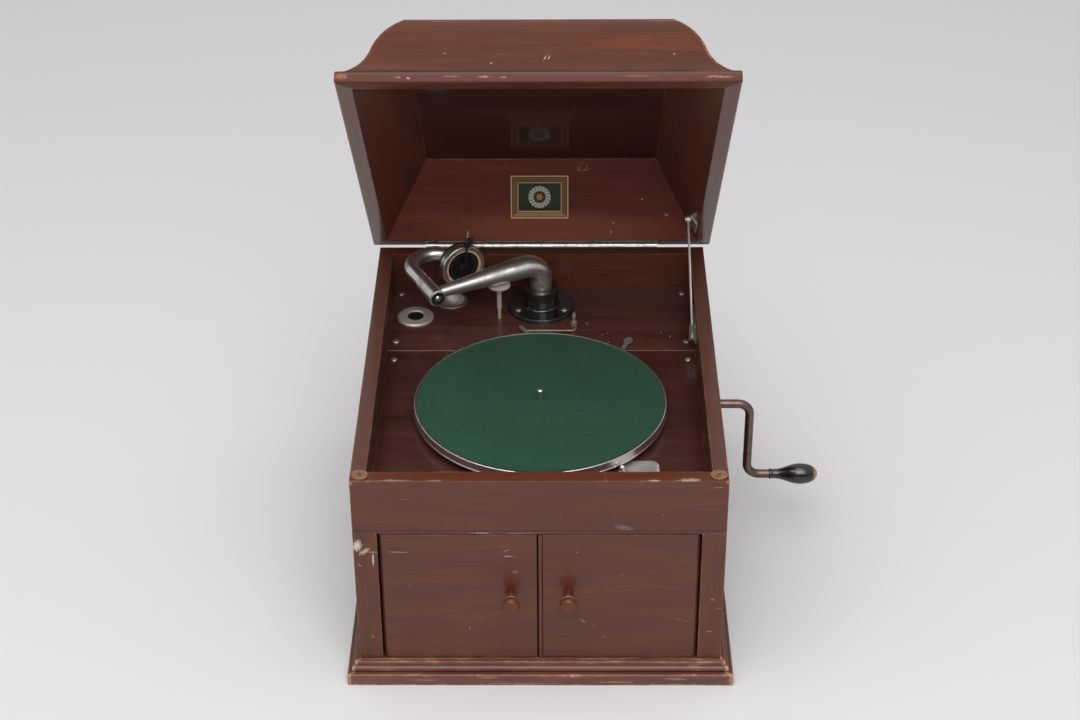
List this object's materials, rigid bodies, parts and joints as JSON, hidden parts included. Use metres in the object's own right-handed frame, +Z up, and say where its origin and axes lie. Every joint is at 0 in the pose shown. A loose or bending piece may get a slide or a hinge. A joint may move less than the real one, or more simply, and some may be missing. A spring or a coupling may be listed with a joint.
{
  "type": "table gramophone",
  "caption": "Wind-up table gramophone: wooden case with doors over an internal horn, hipped lid on a rod stay, felt turntable, gooseneck tone arm and side crank.",
  "frame": {"origin": "centre of the case body's underside, on the floor; the foot moulding and the crank are not counted in that centre", "axes": "+Z up, -Y towards the front with the doors, +X towards the side with the crank"},
  "size_m": [0.5773, 0.591, 0.7111],
  "materials": {
    "mahogany": "old varnished mahogany, worn at the edges",
    "dark_wood": "dark stained board",
    "bare_wood": "unfinished softwood",
    "turned_wood": "turned and polished, worn at the end",
    "bumper": "perished brown rubber",
    "felt": "dark green wool felt",
    "worn_nickel": "worn nickel plate",
    "steel": "plain steel",
    "brown_iron": "browned plated iron rod",
    "old_brass": "tarnished brass",
    "gear_brass": "cut brass",
    "black_japan": "black japanned",
    "cast_iron": "painted casting",
    "gasket_rubber": "aged pinkish rubber"
  },
  "bodies": {
    "case": {"side_left": "mahogany", "side_right": "mahogany", "back_panel": "mahogany", "front_fascia": "mahogany", "door_frame": "mahogany", "bottom_board": "bare_wood", "plinth_front": "mahogany", "plinth_sides": "mahogany", "horn_baffle": "dark_wood", "board_bearers": "bare_wood", "front_motor_board": "dark_wood", "rear_motor_board": "dark_wood", "board_screws": "worn_nickel", "lid_bumpers": "bumper", "hinge_case_leaf": "old_brass", "hinge_pin": "steel", "stay_guide": "steel", "door_pins": "old_brass", "tone_arm_base": "black_japan", "base_screws": "worn_nickel", "arm_rest": "worn_nickel", "used_needle_cup": "worn_nickel", "needle_cup": "worn_nickel", "brake_post": "worn_nickel", "speed_plate": "worn_nickel", "crank_bush": "worn_nickel", "horn": "black_japan", "motor_frame": "cast_iron"},
    "lid": {"lid_front": "mahogany", "lid_rear": "mahogany", "lid_left": "mahogany", "lid_right": "mahogany", "lid_top": "mahogany", "hinge_lid_leaf": "old_brass", "stay_bracket": "steel"},
    "stay": {"stay_rod": "steel"},
    "left_door": {"door_left": "mahogany", "knob_left": "turned_wood"},
    "right_door": {"door_right": "mahogany", "door_bead": "mahogany", "knob_right": "turned_wood"},
    "turntable": {"platter": "worn_nickel", "felt_mat": "felt", "spindle": "steel"},
    "arm": {"tone_arm": "worn_nickel", "arm_cap": "worn_nickel"},
    "neck": {"gooseneck": "worn_nickel", "soundbox": "worn_nickel", "soundbox_gasket": "gasket_rubber", "stylus_bar": "steel", "needle": "steel"},
    "brake": {"brake_lever": "worn_nickel"},
    "trip": {"trip_lever": "worn_nickel"},
    "speed": {"speed_knob": "worn_nickel"},
    "crank": {"crank": "brown_iron"},
    "grip": {"crank_grip": "turned_wood"},
    "middle_wheel": {"middle_gear": "gear_brass"},
    "barrel": {"spring_barrel": "steel"},
    "winder": {"winding_arbor": "steel"},
    "governor": {"governor": "gear_brass"}
  },
  "joints": [
    {"name": "lid_hinge", "type": "hinge", "parent": "case", "child": "lid", "pos_m": [0, 0.2647, 0.288], "axis": [-1, 0, 0], "range_deg": [-49, 0]},
    {"name": "stay_pivot", "type": "hinge", "parent": "lid", "child": "stay", "pos_m": [0.19, 0.23738, 0.34229], "axis": [-1, 0, 0], "range_deg": [0, 58.2]},
    {"name": "left_door_pins", "type": "hinge", "parent": "case", "child": "left_door", "pos_m": [-0.1757, -0.2535, 0.12], "axis": [0, 0, -1], "range_deg": [0, 90]},
    {"name": "right_door_pins", "type": "hinge", "parent": "case", "child": "right_door", "pos_m": [0.1757, -0.2535, 0.12], "axis": [0, 0, 1], "range_deg": [0, 90]},
    {"name": "turntable_spin", "type": "hinge", "parent": "case", "child": "turntable", "pos_m": [0, -0.0525, 0.2], "axis": [0, 0, 1], "continuous": true},
    {"name": "arm_swing", "type": "hinge", "parent": "case", "child": "arm", "pos_m": [0, 0.1925, 0.25], "axis": [0, 0, 1], "range_deg": [-3, 96]},
    {"name": "neck_turn", "type": "hinge", "parent": "arm", "child": "neck", "pos_m": [-0.13543, 0.12349, 0.299], "axis": [0.454, -0.891, 0], "range_deg": [0, 140]},
    {"name": "brake_swing", "type": "hinge", "parent": "case", "child": "brake", "pos_m": [0.093, 0.0585, 0.24], "axis": [0, 0, -1], "range_deg": [0, 12]},
    {"name": "trip_swing", "type": "hinge", "parent": "case", "child": "trip", "pos_m": [0.042, 0.1485, 0.24], "axis": [0, 0, 1], "range_deg": [-3, 3]},
    {"name": "speed_turn", "type": "hinge", "parent": "case", "child": "speed", "pos_m": [0.096, -0.1765, 0.24], "axis": [0, 0, 1], "range_deg": [-135, 135]},
    {"name": "crank_turn", "type": "hinge", "parent": "case", "child": "crank", "pos_m": [0.2, 0.0185, 0.202], "axis": [1, 0, 0], "continuous": true},
    {"name": "grip_spin", "type": "hinge", "parent": "crank", "child": "grip", "pos_m": [0.3, 0.0185, 0.095], "axis": [1, 0, 0], "continuous": true},
    {"name": "middle_spin", "type": "hinge", "parent": "case", "child": "middle_wheel", "pos_m": [-0.00849, -0.00526, 0.19], "axis": [0, 0, 1], "continuous": true},
    {"name": "barrel_spin", "type": "hinge", "parent": "case", "child": "barrel", "pos_m": [0.04, 0.0185, 0.17], "axis": [0, 0, 1], "continuous": true},
    {"name": "winder_turn", "type": "hinge", "parent": "case", "child": "winder", "pos_m": [0.04, 0.0185, 0.19], "axis": [0, 0, 1], "continuous": true},
    {"name": "governor_spin", "type": "hinge", "parent": "case", "child": "governor", "pos_m": [0, -0.0777, 0.1945], "axis": [1, 0, 0], "continuous": true}
  ],
  "couplings": [
    {"joint": "stay_pivot", "follows": "lid_hinge", "ratio": -1.1843},
    {"joint": "middle_spin", "follows": "turntable_spin", "ratio": -0.14286},
    {"joint": "barrel_spin", "follows": "turntable_spin", "ratio": 0.017857},
    {"joint": "governor_spin", "follows": "turntable_spin", "ratio": 40},
    {"joint": "winder_turn", "follows": "crank_turn", "ratio": 0.42857}
  ]
}
